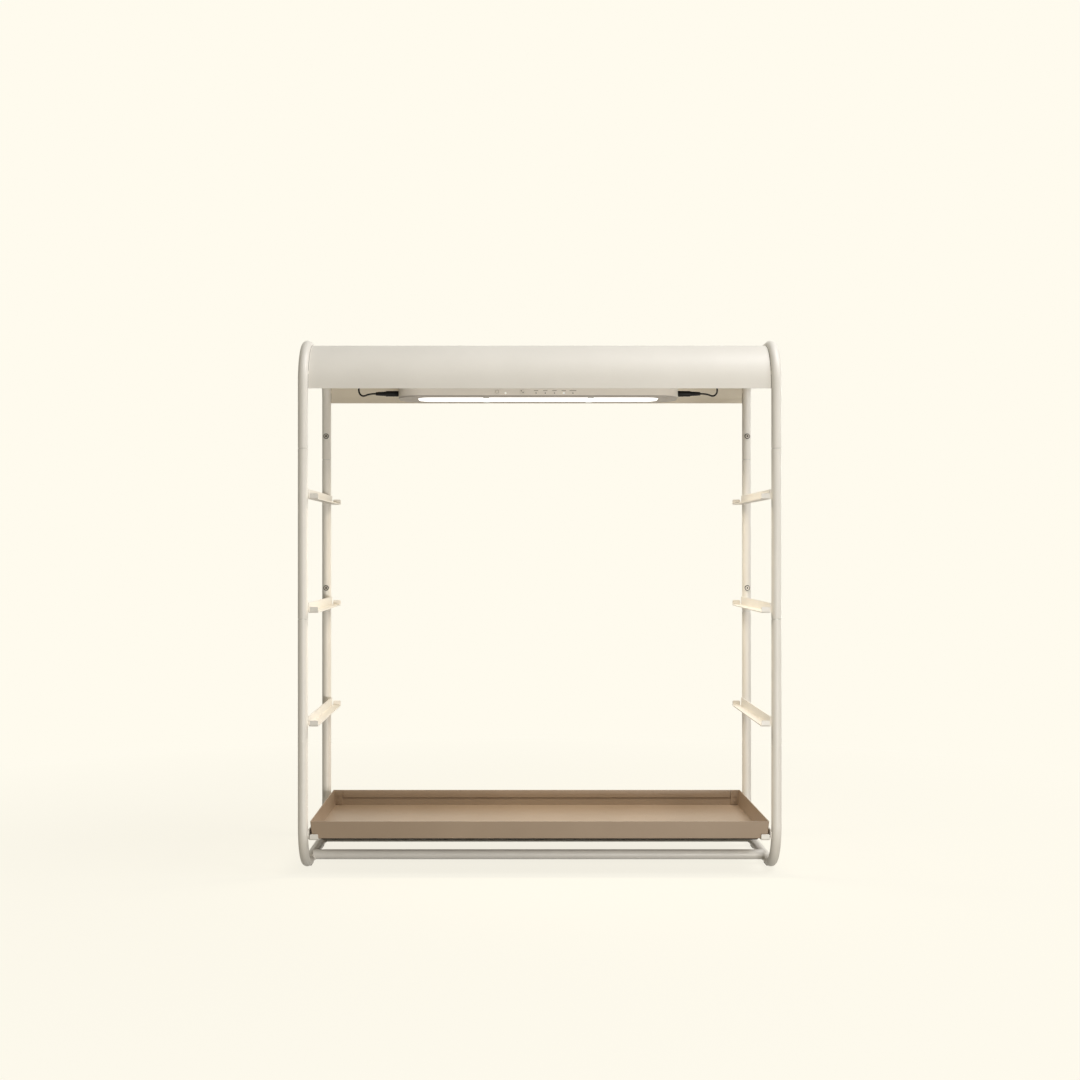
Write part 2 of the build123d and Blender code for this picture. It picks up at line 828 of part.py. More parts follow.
with BuildPart() as panel_housing:
    with BuildSketch(Plane.XY.offset(housing_bottom_z)):
        RectangleRounded(panel_length, panel_depth, panel_corner_radius)
    extrude(amount=panel_top_z - housing_bottom_z)
    fillet(panel_housing.edges().group_by(Axis.Z)[-1], panel_top_round)
    with BuildSketch(Plane.XY.offset(housing_bottom_z)):
        RectangleRounded(
            panel_length - 2 * panel_wall,
            panel_depth - 2 * panel_wall,
            panel_corner_radius - panel_wall,
        )
    extrude(amount=housing_ceiling_z - housing_bottom_z, mode=Mode.SUBTRACT)
    with BuildSketch(Plane.XY.offset(housing_ceiling_z)):
        with Locations(*board_screw_places):
            Circle(board_boss_diameter / 2)
    extrude(amount=-board_standoff)
    with BuildSketch(Plane.XY.offset(housing_ceiling_z)):
        with Locations(*bezel_screw_places):
            Circle(bezel_boss_diameter / 2)
    extrude(amount=housing_bottom_z - housing_ceiling_z)
    with BuildSketch(Plane.XY.offset(housing_ceiling_z)):
        with Locations(*hanger_places):
            Circle(hanger_boss_diameter / 2)
    extrude(amount=-hanger_boss_depth)
    with BuildSketch(Plane.XY.offset(housing_ceiling_z)):
        rib_y = control_board_y + control_board_thickness + control_rib_depth / 2
        with Locations(*[(x, rib_y) for x in rib_places]):
            Rectangle(control_rib_width, control_rib_depth)
    extrude(amount=-control_rib_height)
    with BuildSketch(Plane.XY.offset(board_top_z)):
        with Locations(*board_screw_places):
            Circle(board_screw_diameter / 2 + screw_clearance)
    extrude(amount=board_screw_length - board_thickness + screw_clearance, mode=Mode.SUBTRACT)
    with BuildSketch(Plane.XY.offset(housing_bottom_z)):
        with Locations(*bezel_screw_places):
            Circle(bezel_screw_diameter / 2 + screw_clearance)
    extrude(amount=bezel_screw_length, mode=Mode.SUBTRACT)
    with BuildSketch(Plane.XY.offset(panel_top_z)):
        with Locations(*hanger_places):
            Circle(hanger_screw_diameter / 2 + screw_clearance)
    extrude(amount=hanger_sheet - hanger_screw_length, mode=Mode.SUBTRACT)
    with BuildSketch(front_plane(panel_front_y)):
        with Locations(*[(x, control_z) for x in button_places]):
            Circle(button_diameter / 2 + button_clearance)
        with Locations(*[(x, indicator_z) for x in light_places]):
            Circle(indicator_diameter / 2 + indicator_clearance)
    extrude(amount=-panel_wall, mode=Mode.SUBTRACT)
    with BuildSketch(Plane.YZ.offset(-panel_end_x)):
        with Locations((0, jack_z)):
            Circle(jack_collar_diameter / 2 + jack_collar_clearance)
    extrude(amount=panel_wall, mode=Mode.SUBTRACT)
    with BuildSketch(Plane.YZ.offset(panel_end_x)):
        with Locations((0, jack_z)):
            Circle(jack_collar_diameter / 2 + jack_collar_clearance)
    extrude(amount=-panel_wall, mode=Mode.SUBTRACT)
keep(panel_housing, "panel_housing")

# Bezel under the housing, its screws, the diffuser and its clips

with BuildPart() as panel_bezel:
    with BuildSketch(Plane.XY.offset(panel_bottom_z)):
        RectangleRounded(panel_length, panel_depth, panel_corner_radius)
    extrude(amount=bezel_thickness)
    fillet(panel_bezel.edges().group_by(Axis.Z)[0], bezel_round)
    with BuildSketch(Plane.XY.offset(panel_bottom_z)):
        RectangleRounded(diffuser_length, diffuser_depth, diffuser_corner_radius)
        with Locations(*bezel_screw_places):
            Circle(bezel_screw_diameter / 2 + screw_clearance)
    extrude(amount=bezel_thickness, mode=Mode.SUBTRACT)
    with BuildSketch(Plane.XY.offset(panel_bottom_z)):
        with Locations(*bezel_screw_places):
            Circle(bezel_screw_head_diameter / 2 + screw_clearance)
    extrude(amount=bezel_screw_recess, mode=Mode.SUBTRACT)
keep(panel_bezel, "panel_bezel")

bezel_screw = make_screw(
    bezel_screw_diameter,
    bezel_screw_head_diameter,
    bezel_screw_head_height,
    bezel_screw_length,
    bezel_screw_socket,
    bezel_screw_socket_depth,
)

with BuildPart() as bezel_screws:
    with Locations(
        *[
            Plane(origin=(x, y, panel_bottom_z + bezel_screw_recess), z_dir=(0, 0, -1))
            for x, y in bezel_screw_places
        ]
    ):
        add(bezel_screw)
keep(bezel_screws, "bezel_screws")

with BuildPart() as light_diffuser:
    with BuildSketch(Plane.XY.offset(panel_bottom_z + diffuser_recess)):
        RectangleRounded(
            diffuser_length - 2 * diffuser_clearance,
            diffuser_depth - 2 * diffuser_clearance,
            diffuser_corner_radius - diffuser_clearance,
        )
    extrude(amount=bezel_thickness - diffuser_recess)
    with BuildSketch(Plane.XY.offset(housing_bottom_z)):
        RectangleRounded(
            diffuser_length + 2 * diffuser_lip,
            diffuser_depth + 2 * diffuser_lip,
            diffuser_corner_radius + diffuser_lip,
        )
    extrude(amount=diffuser_lip_thickness)
keep(light_diffuser, "light_diffuser")

with BuildPart() as diffuser_clips:
    clip_span = diffuser_clip_reach + diffuser_clip_foot
    clip_y = diffuser_depth / 2 - diffuser_clip_reach + clip_span / 2
    with BuildSketch(Plane.XY.offset(panel_bottom_z)):
        with GridLocations(diffuser_clip_spacing, 2 * clip_y, 2, 2):
            Rectangle(diffuser_clip_width, clip_span)
    extrude(amount=-diffuser_clip_thickness)
keep(diffuser_clips, "diffuser_clips")

# Light board, its chips and its screws

with BuildPart() as light_board:
    with BuildSketch(Plane.XY.offset(board_bottom_z)):
        Rectangle(board_length, board_depth)
        with Locations(*board_screw_places):
            Circle(board_screw_diameter / 2 + screw_clearance, mode=Mode.SUBTRACT)
    extrude(amount=board_thickness)
keep(light_board, "light_board")

with BuildPart() as light_chips:
    with BuildSketch(Plane.XY.offset(board_bottom_z)):
        with GridLocations(chip_column_pitch, chip_row_pitch, chip_columns, chip_rows):
            Rectangle(chip_length, chip_width)
    extrude(amount=-chip_height)
keep(light_chips, "light_chips")

board_screw = make_screw(
    board_screw_diameter,
    board_screw_head_diameter,
    board_screw_head_height,
    board_screw_length,
    board_screw_socket,
    board_screw_socket_depth,
)

with BuildPart() as board_screws:
    with Locations(
        *[Plane(origin=(x, y, board_bottom_z), z_dir=(0, 0, -1)) for x, y in board_screw_places]
    ):
        add(board_screw)
keep(board_screws, "board_screws")

# Buttons, their switches, the control board and the indicator lights


def make_button(x):
    """A round cap flush with the panel's front, with a stop flange and a stem behind."""
    with BuildPart() as button:
        with BuildSketch(front_plane(panel_front_y)):
            with Locations((x, control_z)):
                Circle(button_diameter / 2)
        extrude(amount=panel_front_y - flange_y)
        fillet(button.edges().group_by(Axis.Y)[0], button_edge_round)
        with BuildSketch(front_plane(flange_y)):
            with Locations((x, control_z)):
                Circle(button_diameter / 2 + button_flange)
        extrude(amount=-button_flange_thickness)
        with BuildSketch(front_plane(flange_y + button_flange_thickness)):
            with Locations((x, control_z)):
                Circle(button_stem_diameter / 2)
        extrude(amount=-button_travel - button_rest_gap - button_stem_entry)
    return button


keep(make_button(power_button_x), "power_button")
keep(make_button(mode_button_x), "mode_button")

with BuildPart() as button_switches:
    with BuildSketch(front_plane(switch_y)):
        with Locations(*[(x, control_z) for x in button_places]):
            Rectangle(switch_size, switch_size)
    extrude(amount=-switch_depth)
    with BuildSketch(front_plane(switch_y)):
        with Locations(*[(x, control_z) for x in button_places]):
            Circle(button_stem_diameter / 2 + switch_bore_clearance)
    extrude(amount=-switch_bore_depth, mode=Mode.SUBTRACT)
keep(button_switches, "button_switches")

with BuildPart() as control_board:
    with BuildSketch(front_plane(control_board_y)):
        with Locations((0, (control_board_bottom_z + control_board_top_z) / 2)):
            Rectangle(control_board_length, control_board_top_z - control_board_bottom_z)
    extrude(amount=-control_board_thickness)
keep(control_board, "control_board")

with BuildPart() as indicator_lights:
    with BuildSketch(front_plane(panel_front_y)):
        with Locations(*[(x, indicator_z) for x in light_places]):
            Circle(indicator_diameter / 2)
    extrude(amount=panel_front_y - control_board_y)
keep(indicator_lights, "indicator_lights")

# Power jacks, plugs, leads and sockets


def make_jack(side):
    """A jack body behind the panel's end wall, with a collar through it and a pin in its bore."""
    mouth = Plane(origin=(side * panel_end_x, 0, jack_z), x_dir=(0, 1, 0), z_dir=(side, 0, 0))
    with BuildPart() as jack:
        with BuildSketch(mouth):
            Circle(jack_collar_diameter / 2)
        extrude(amount=-panel_wall)
        with BuildSketch(mouth.offset(-panel_wall)):
            Rectangle(jack_width, jack_height)
        extrude(amount=-jack_length)
        with BuildSketch(mouth):
            Circle(jack_bore_diameter / 2)
        extrude(amount=-jack_bore_depth, mode=Mode.SUBTRACT)
        with BuildSketch(mouth.offset(-jack_bore_depth)):
            Circle(jack_pin_diameter / 2)
        extrude(amount=jack_bore_depth - jack_pin_setback)
    return jack


def make_plug(side):
    """A plug turned about its axis: barrel in the jack, round grip and tapered strain relief."""
    mouth = (side * panel_end_x, 0, jack_z)
    grip_end = plug_gap + plug_grip_length
    tail = plug_gap + plug_length
    with BuildPart() as plug:
        with BuildSketch(Plane(origin=mouth, x_dir=(side, 0, 0), z_dir=(0, -side, 0))):
            with BuildLine():
                Polyline(
                    (-plug_barrel_length, plug_barrel_bore / 2),
                    (-plug_barrel_length, plug_barrel_diameter / 2),
                    (plug_gap, plug_barrel_diameter / 2),
                    (plug_gap, plug_grip_diameter / 2),
                    (grip_end, plug_grip_diameter / 2),
                    (grip_end, plug_relief_diameter / 2),
                    (tail, plug_tip_diameter / 2),
                    (tail, 0),
                    (0, 0),
                    (0, plug_barrel_bore / 2),
                    close=True,
                )
            make_face()
        revolve(axis=Axis(mouth, (side, 0, 0)))
        rims = plug.edges().filter_by(GeomType.CIRCLE)
        fillet([rim for rim in rims if rim.radius > plug_relief_diameter / 2 + touch], plug_round)
    return plug


def make_lead(side):
    """A lead from its plug up to its boot, with an arc at each turn as large as its runs allow."""
    route = [(plug_tail_x, 0, jack_z)]
    route += [(plug_tail_x + out, back, jack_z + up) for out, back, up in lead_turns]
    route += [(socket_x, socket_setback, boot_tip_z - lead_entry_run)]
    route += [(socket_x, socket_setback, boot_tip_z)]
    points = [Vector(side * x, y, z) for x, y, z in route]
    radii = []
    for before, here, after in zip(points, points[1:], points[2:]):
        turn = math.radians((here - before).get_angle(after - here))
        shorter = min((here - before).length, (after - here).length)
        radii.append(arc_share * shorter / math.tan(turn / 2))
    with BuildPart() as lead:
        with BuildLine() as path:
            FilletPolyline(*points, radius=radii)
        with BuildSketch(Plane(origin=path.line @ 0, z_dir=path.line % 0)):
            Circle(lead_diameter / 2)
        sweep()
    length = path.wire().length
    expected = math.pi * lead_diameter**2 / 4 * length
    print("lead radii", [round(radius, 1) for radius in radii])
    print("lead length", round(length, 1))
    print("lead volume over expected", round(lead.part.volume / expected, 4))
    return lead


def make_socket(side):
    """A power socket under the ceiling, open to the rear, with a boot below for the lead."""
    mouth = Plane(
        origin=(
            side * socket_x,
            socket_setback + socket_length / 2,
            hood_ceiling_z - socket_height / 2,
        ),
        x_dir=(1, 0, 0),
        z_dir=(0, 1, 0),
    )
    with BuildPart() as socket:
        with BuildSketch(Plane.XY.offset(hood_ceiling_z)):
            with Locations((side * socket_x, socket_setback)):
                RectangleRounded(socket_width, socket_length, socket_corner_radius)
        extrude(amount=-socket_height)
        with Locations((side * socket_x, socket_setback, boot_tip_z)):
            Cone(boot_tip_diameter / 2, boot_diameter / 2, boot_length, align=stand)
        with BuildSketch(mouth):
            Circle(jack_bore_diameter / 2)
        extrude(amount=-jack_bore_depth, mode=Mode.SUBTRACT)
        with BuildSketch(mouth.offset(-jack_bore_depth)):
            Circle(jack_pin_diameter / 2)
        extrude(amount=jack_bore_depth - jack_pin_setback)
    return socket


for side_name, side in sides:
    keep(make_jack(side), f"power_jack_{side_name}")
    keep(make_plug(side), f"lead_plug_{side_name}")
    keep(make_lead(side), f"panel_lead_{side_name}")
    keep(make_socket(side), f"hood_socket_{side_name}")
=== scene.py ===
import json
import math

import bmesh
import bpy
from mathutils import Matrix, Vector


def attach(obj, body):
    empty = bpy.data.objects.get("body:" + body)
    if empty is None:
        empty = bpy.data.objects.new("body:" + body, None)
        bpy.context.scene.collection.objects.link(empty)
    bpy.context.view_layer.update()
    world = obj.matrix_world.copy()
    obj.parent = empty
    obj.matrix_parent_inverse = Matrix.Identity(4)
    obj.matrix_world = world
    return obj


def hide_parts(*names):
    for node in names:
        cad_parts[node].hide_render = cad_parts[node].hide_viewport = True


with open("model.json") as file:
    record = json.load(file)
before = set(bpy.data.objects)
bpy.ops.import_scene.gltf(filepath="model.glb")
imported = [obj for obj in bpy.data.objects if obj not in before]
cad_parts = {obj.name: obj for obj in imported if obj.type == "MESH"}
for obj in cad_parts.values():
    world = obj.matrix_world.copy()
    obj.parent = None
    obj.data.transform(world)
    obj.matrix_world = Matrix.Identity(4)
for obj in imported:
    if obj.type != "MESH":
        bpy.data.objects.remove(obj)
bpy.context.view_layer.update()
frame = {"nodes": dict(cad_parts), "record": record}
nodes = frame["nodes"]
scene = bpy.context.scene
MM = 0.001

# Sizes and places of the solids that the scene's own pieces follow, in millimetres
TUBE_RADIUS = 6.35
LOOP_X, LOOP_Y = 298.3, 126.0
BOTTOM_AXIS_Z = 7.35
BAR_RISE = 4.6
BAR_PLACES_Y = (-55.4, 66.6)
LEDGE_COUNT, FIRST_LEDGE_Z, LEDGE_PITCH = 4, 44.0, 143.0
HOOD_CENTRE_Z = 620.0
JACK_Z = 618.25
PANEL_FRONT_Y = -42.0
CONTROL_Z = 617.05
POWER_X, MODE_X = -54.6, -21.5
POWER_LIGHT_X = -43.4
LIGHT_COUNT, FIRST_LIGHT_X, LIGHT_PITCH = 5, -3.3, 12.1
SIDES = (("left", -1), ("right", 1))


# Materials

NOISE_LOW, NOISE_HIGH = 0.3, 0.7
SLOW_DETAIL, FINE_DETAIL = 3.0, 2.0
ROUGH_BELOW, ROUGH_ABOVE = 0.05, 0.06


def srgb(*levels):
    """A linear colour from levels of 0 to 255."""
    shares = [level / 255 for level in levels]
    linear = [s / 12.92 if s <= 0.04045 else ((s + 0.055) / 1.055) ** 2.4 for s in shares]
    return (*linear, 1.0)


def new_material(name):
    """An empty material, its node tree and its shader."""
    material = bpy.data.materials.new(name)
    material.use_nodes = True
    tree = material.node_tree
    return material, tree, tree.nodes["Principled BSDF"]


def noise(tree, scale, detail, stretch=(1, 1, 1)):
    """A noise texture in the piece's frame, with its features pressed together along an axis where asked."""
    place = tree.nodes.new("ShaderNodeTexCoord")
    mapping = tree.nodes.new("ShaderNodeMapping")
    mapping.inputs["Scale"].default_value = stretch
    texture = tree.nodes.new("ShaderNodeTexNoise")
    texture.inputs["Scale"].default_value = scale
    texture.inputs["Detail"].default_value = detail
    tree.links.new(place.outputs["Object"], mapping.inputs["Vector"])
    tree.links.new(mapping.outputs["Vector"], texture.inputs["Vector"])
    return texture.outputs["Fac"]


def ramp(tree, value, low, high):
    """A colour that runs from low to high as a noise runs over its usual range."""
    node = tree.nodes.new("ShaderNodeValToRGB")
    first, last = node.color_ramp.elements
    first.position, first.color = NOISE_LOW, low
    last.position, last.color = NOISE_HIGH, high
    tree.links.new(value, node.inputs["Fac"])
    return node.outputs["Color"]


def map_range(tree, value, start, stop, low, high):
    """A number that runs from low to high as a value runs from start to stop."""
    node = tree.nodes.new("ShaderNodeMapRange")
    node.inputs["From Min"].default_value = start
    node.inputs["From Max"].default_value = stop
    node.inputs["To Min"].default_value = low
    node.inputs["To Max"].default_value = high
    tree.links.new(value, node.inputs["Value"])
    return node.outputs["Result"]


def surface(name, low, high, rough, drift=14.0, grain=1400.0, depth=0.02, stretch=(1, 1, 1), **sockets):
    """A finish with slow drifts of tone, fine grain in its height and small changes of gloss."""
    material, tree, shader = new_material(name)
    slow = noise(tree, drift, SLOW_DETAIL)
    fine = noise(tree, grain, FINE_DETAIL, stretch)
    tree.links.new(ramp(tree, slow, srgb(*low), srgb(*high)), shader.inputs["Base Color"])
    gloss = map_range(tree, fine, NOISE_LOW, NOISE_HIGH, rough - ROUGH_BELOW, rough + ROUGH_ABOVE)
    tree.links.new(gloss, shader.inputs["Roughness"])
    bump = tree.nodes.new("ShaderNodeBump")
    bump.inputs["Distance"].default_value = depth * MM
    tree.links.new(fine, bump.inputs["Height"])
    tree.links.new(bump.outputs["Normal"], shader.inputs["Normal"])
    for socket, value in sockets.items():
        shader.inputs[socket.replace("_", " ")].default_value = value
    return material


# Level of reflection of the black finishes, low because they mirror a pale room
DULL = 0.2

finishes = {
    "cream_paint": surface("cream_paint", (230, 225, 216), (235, 230, 221), 0.42, depth=0.03),
    "tray_paint": surface("tray_paint", (156, 135, 113), (162, 141, 119), 0.36, grain=1800.0, depth=0.05),
    "black_steel": surface("black_steel", (12, 12, 12), (20, 19, 18), 0.5, Specular_IOR_Level=DULL),
    "zinc_steel": surface(
        "zinc_steel", (176, 176, 172), (196, 196, 194), 0.32, grain=500.0, stretch=(1, 1, 8), Metallic=1.0
    ),
    "panel_plastic": surface("panel_plastic", (244, 238, 228), (248, 242, 233), 0.5, grain=2200.0),
    # The bezel's grey is the panel's plastic darkened as painted shade of its underside
    "bezel_plastic": surface("bezel_plastic", (186, 178, 170), (192, 184, 176), 0.5, grain=2200.0),
    "button_plastic": surface("button_plastic", (239, 233, 223), (243, 237, 227), 0.42, grain=2600.0),
    "diffuser_plastic": surface(
        "diffuser_plastic",
        (248, 248, 246),
        (252, 252, 251),
        0.45,
        grain=900.0,
        Emission_Color=srgb(255, 254, 252),
        Emission_Strength=1.3,
    ),
    "light_pipe": surface("light_pipe", (150, 142, 132), (160, 152, 142), 0.3),
    "board_white": surface("board_white", (226, 226, 222), (236, 236, 233), 0.5),
    "board_green": surface("board_green", (18, 74, 40), (24, 88, 48), 0.4),
    "chip_yellow": surface("chip_yellow", (232, 200, 80), (240, 214, 104), 0.35),
    "black_plastic": surface(
        "black_plastic", (13, 13, 13), (20, 19, 19), 0.5, grain=1600.0, depth=0.04, Specular_IOR_Level=DULL
    ),
    "lead_rubber": surface(
        "lead_rubber", (11, 11, 11), (17, 16, 16), 0.48, grain=1200.0, Specular_IOR_Level=DULL
    ),
    # Painted shade: the black of the strip under the tray's front edge and of the tapes at the hood's ends
    # stands for the dark shade in those gaps
    "strip_rubber": surface(
        "strip_rubber", (12, 12, 12), (18, 17, 17), 0.8, grain=900.0, depth=0.06, Specular_IOR_Level=DULL
    ),
    "pad_rubber": surface("pad_rubber", (186, 180, 168), (196, 190, 178), 0.75, grain=1000.0, depth=0.05),
}
# Painted shade for the hood's inside: a darker, warmer cream than its outside
hood_inside_painted_shade = surface("hood_inside_painted_shade", (215, 205, 186), (221, 211, 192), 0.5, depth=0.03)
# Painted glint for the joint screws' crowns
screw_crown_glint = surface("screw_crown_glint", (176, 169, 158), (188, 181, 170), 0.3, Metallic=0.25)
lit_lens = surface(
    "lit_lens",
    (255, 253, 246),
    (255, 255, 252),
    0.3,
    Emission_Color=srgb(255, 252, 244),
    Emission_Strength=1.2,
)
print_ink = surface("print_ink", (150, 140, 128), (160, 150, 138), 0.55, grain=3000.0)
dark_ink = surface("dark_ink", (92, 84, 76), (102, 94, 86), 0.55, grain=3000.0)


def paint(piece, *materials):
    """Gives a piece its materials in place of those it has."""
    piece.data.materials.clear()
    for material in materials:
        piece.data.materials.append(material)


for part in frame["record"]["subparts"]:
    paint(nodes[part["node"]], finishes[part["material_slot"]])

# The indicator beside the power button and the fourth mode's one are lit
LIT_MODE = 3
LENS_REACH = 2.0
lit_places = (POWER_LIGHT_X, FIRST_LIGHT_X + LIT_MODE * LIGHT_PITCH)
lights = nodes["indicator_lights"]
paint(lights, finishes["light_pipe"], lit_lens)
for face in lights.data.polygons:
    near = min(abs(face.center.x - place * MM) for place in lit_places)
    face.material_index = 1 if near < LENS_REACH * MM else 0

# The hood's inside faces are painted darker and warmer than its outside: painted shade with a painted warm
# bounce of light from the tray
INSIDE_SHADE_TURN = -0.3
hood = nodes["hood_shell"]
paint(hood, finishes["cream_paint"], hood_inside_painted_shade)
hood_centre = Vector((0.0, 0.0, HOOD_CENTRE_Z * MM))
for face in hood.data.polygons:
    outward = face.center - hood_centre
    outward.x = 0.0
    face.material_index = 1 if face.normal.dot(outward.normalized()) < INSIDE_SHADE_TURN else 0

# The joint screws' flat crowns get a painted glint round their sockets, on the faces turned inward
CROWN_TURN = -0.9
CROWN_START, CROWN_STOP = 1.2, 2.9
for level in ("upper", "lower"):
    screws = nodes[f"{level}_joint_screws"]
    paint(screws, finishes["black_steel"], screw_crown_glint)
    heights = [corner.co.z for corner in screws.data.vertices]
    middle_z = (min(heights) + max(heights)) / 2
    for face in screws.data.polygons:
        x, y, z = face.center
        reach = math.hypot(abs(x) - LOOP_X * MM, z - middle_z)
        inward = face.normal.y * math.copysign(1.0, y) < CROWN_TURN
        face.material_index = 1 if inward and CROWN_START * MM < reach < CROWN_STOP * MM else 0


# Pieces


def add_piece(name, data, material, body):
    """Puts a finished mesh or curve into the scene, on a body, with its finish."""
    piece = bpy.data.objects.new(name, data)
    scene.collection.objects.link(piece)
    paint(piece, material)
    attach(piece, body)
    return piece


def mesh_from(name, bm, smooth=True):
    """A mesh with outward faces from a finished bmesh."""
    bmesh.ops.recalc_face_normals(bm, faces=bm.faces)
    mesh = bpy.data.meshes.new(name)
    bm.to_mesh(mesh)
    bm.free()
    for face in mesh.polygons:
        face.use_smooth = smooth
    return mesh


def skin_rings(bm, rings, closed=False):
    """Joins rings of points, each of the same count, into a tube that is capped or closed on itself."""
    loops = [[bm.verts.new(point) for point in ring] for ring in rings]
    pairs = list(zip(loops, loops[1:]))
    if closed:
        pairs.append((loops[-1], loops[0]))
    else:
        bm.faces.new(loops[0])
        bm.faces.new(loops[-1])
    for one, two in pairs:
        for i in range(len(one)):
            j = (i + 1) % len(one)
            bm.faces.new((one[i], one[j], two[j], two[i]))


# Leads from the panel's plugs up to the hood's sockets, by their routes' points

LEAD_RADIUS = 1.15
LEAD_ROUTE = (
    (217.3, 0.0, JACK_Z),
    (226.3, 0.0, JACK_Z),
    (234.8, 1.2, 614.2),
    (240.8, 3.0, 619.6),
    (240.4, 5.2, 628.8),
    (239.2, 7.0, 641.0),
    (239.2, 7.0, 649.95),
)


def make_lead(side_name, side):
    """A limp lead as one smooth spline."""
    curve = bpy.data.curves.new(f"lead_{side_name}", "CURVE")
    curve.dimensions = "3D"
    curve.bevel_depth = LEAD_RADIUS * MM
    curve.bevel_resolution = 6
    curve.resolution_u = 16
    curve.use_fill_caps = True
    spline = curve.splines.new("NURBS")
    spline.points.add(len(LEAD_ROUTE) - 1)
    for point, (x, y, z) in zip(spline.points, LEAD_ROUTE):
        point.co = (side * x * MM, y * MM, z * MM, 1.0)
    spline.order_u = 3
    spline.use_endpoint_u = True
    lead = add_piece(f"lead_{side_name}", curve, finishes["lead_rubber"], "frame")
    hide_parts(f"panel_lead_{side_name}")
    x, y, z = LEAD_ROUTE[-1]


# Ribs on a plug's strain relief and grip: place along the plug, radius at the foot and width

PLUG_RIBS = (
    (205.8, 2.85, 1.3),
    (208.2, 2.74, 1.3),
    (210.6, 2.64, 1.3),
    (213.0, 2.54, 1.3),
    (189.5, 3.78, 1.0),
    (191.5, 3.78, 1.0),
    (193.5, 3.78, 1.0),
)
RIB_RISE = 0.28
RIB_STEPS, RIB_SIDES = 8, 40


def make_plug_ribs(side_name, side):
    """Moulded ribs round a plug, each with a round back."""
    bm = bmesh.new()
    turns = [k * math.tau / RIB_SIDES for k in range(RIB_SIDES)]
    for along, radius, width in PLUG_RIBS:
        rings = []
        for step in range(RIB_STEPS + 1):
            turn = math.pi * step / RIB_STEPS
            reach = radius + RIB_RISE * math.sin(turn)
            x = side * (along - width / 2 * math.cos(turn)) * MM
            rings.append([(x, reach * math.cos(t) * MM, (JACK_Z + reach * math.sin(t)) * MM) for t in turns])
        skin_rings(bm, rings, closed=True)
    name = f"plug_ribs_{side_name}"
    add_piece(name, mesh_from(name, bm), finishes["black_plastic"], "frame")


for side_name, side in SIDES:
    make_lead(side_name, side)
    make_plug_ribs(side_name, side)


# Printed marks on the panel's front

INK_SINK, INK_RISE = 0.05, 0.04
BAR_END_STEPS, BAND_STEPS = 8, 40


def raise_mark(bm, outline):
    """A thin plate of ink on the panel's front, from an outline in X and Z."""
    back = [bm.verts.new((x * MM, (PANEL_FRONT_Y + INK_SINK) * MM, z * MM)) for x, z in outline]
    face = [bm.verts.new((x * MM, (PANEL_FRONT_Y - INK_RISE) * MM, z * MM)) for x, z in outline]
    bm.faces.new(face)
    bm.faces.new(back)
    for i in range(len(outline)):
        j = (i + 1) % len(outline)
        bm.faces.new((face[i], face[j], back[j], back[i]))


def round_bar(x, z, width, height):
    """The outline of a bar with round ends."""
    radius = height / 2
    half = width / 2 - radius
    points = []
    for centre, start in ((half, -90), (-half, 90)):
        for step in range(BAR_END_STEPS + 1):
            turn = math.radians(start + 180 * step / BAR_END_STEPS)
            points.append((x + centre + radius * math.cos(turn), z + radius * math.sin(turn)))
    return points


def arc_band(x, z, radius, width, start, stop):
    """The outline of part of a ring, between two angles."""
    turns = [math.radians(start + (stop - start) * step / BAND_STEPS) for step in range(BAND_STEPS + 1)]
    outer, inner = (
        [(x + reach * math.cos(t), z + reach * math.sin(t)) for t in turns]
        for reach in (radius + width / 2, radius - width / 2)
    )
    return outer + inner[::-1]


POWER_RING = {"radius": 2.1, "width": 0.4, "start": 120, "stop": 420}
POWER_BAR = ((-0.2, 0.6), (0.2, 0.6), (0.2, 2.3), (-0.2, 2.3))
bm = bmesh.new()
raise_mark(bm, arc_band(POWER_X, CONTROL_Z, **POWER_RING))
raise_mark(bm, [(POWER_X + u, CONTROL_Z + v) for u, v in POWER_BAR])
add_piece("power_mark", mesh_from("power_mark", bm, False), print_ink, "power_button")

MODE_DOTS = ((-1.15, 1.0), (1.15, -1.0))
MODE_DOT_WIDTH, MODE_DOT_HEIGHT = 1.5, 1.4
bm = bmesh.new()
for u, v in MODE_DOTS:
    raise_mark(bm, round_bar(MODE_X + u, CONTROL_Z + v, MODE_DOT_WIDTH, MODE_DOT_HEIGHT))
add_piece("mode_mark", mesh_from("mode_mark", bm, False), dark_ink, "mode_button")

MARK_Z, MARK_HEIGHT = 618.4, 0.8
MARK_WIDTHS = (5.8, 5.8, 5.8, 5.8, 9.0)
bm = bmesh.new()
for number in range(LIGHT_COUNT):
    mark_x = FIRST_LIGHT_X + LIGHT_PITCH * number
    raise_mark(bm, round_bar(mark_x, MARK_Z, MARK_WIDTHS[number], MARK_HEIGHT))
add_piece("panel_marks", mesh_from("panel_marks", bm, False), print_ink, "frame")


# Weld beads where the crossbars meet the loops and where the ledges meet the uprights

BEAD_SIDES = 12
BEAD_END, BEAD_GAIN = 0.35, 0.25
BEAD_SWELL = 0.12


def bead(bm, path, radius, ripple):
    """A rippled bead with tapered ends along a path of points in millimetres."""
    points = [Vector(p) for p in path]
    last = len(points) - 1
    turns = [k * math.tau / BEAD_SIDES for k in range(BEAD_SIDES)]
    rings = []
    across = None
    for i, point in enumerate(points):
        along = (points[min(i + 1, last)] - points[max(i - 1, 0)]).normalized()
        across = along.orthogonal() if across is None else across - along * across.dot(along)
        across.normalize()
        up = along.cross(across)
        taper = min(1.0, BEAD_END + BEAD_GAIN * min(i, last - i))
        reach = radius * taper * (1 + BEAD_SWELL * math.sin(ripple * i))
        rings.append([(point + (across * math.cos(t) + up * math.sin(t)) * reach) * MM for t in turns])
    skin_rings(bm, rings)


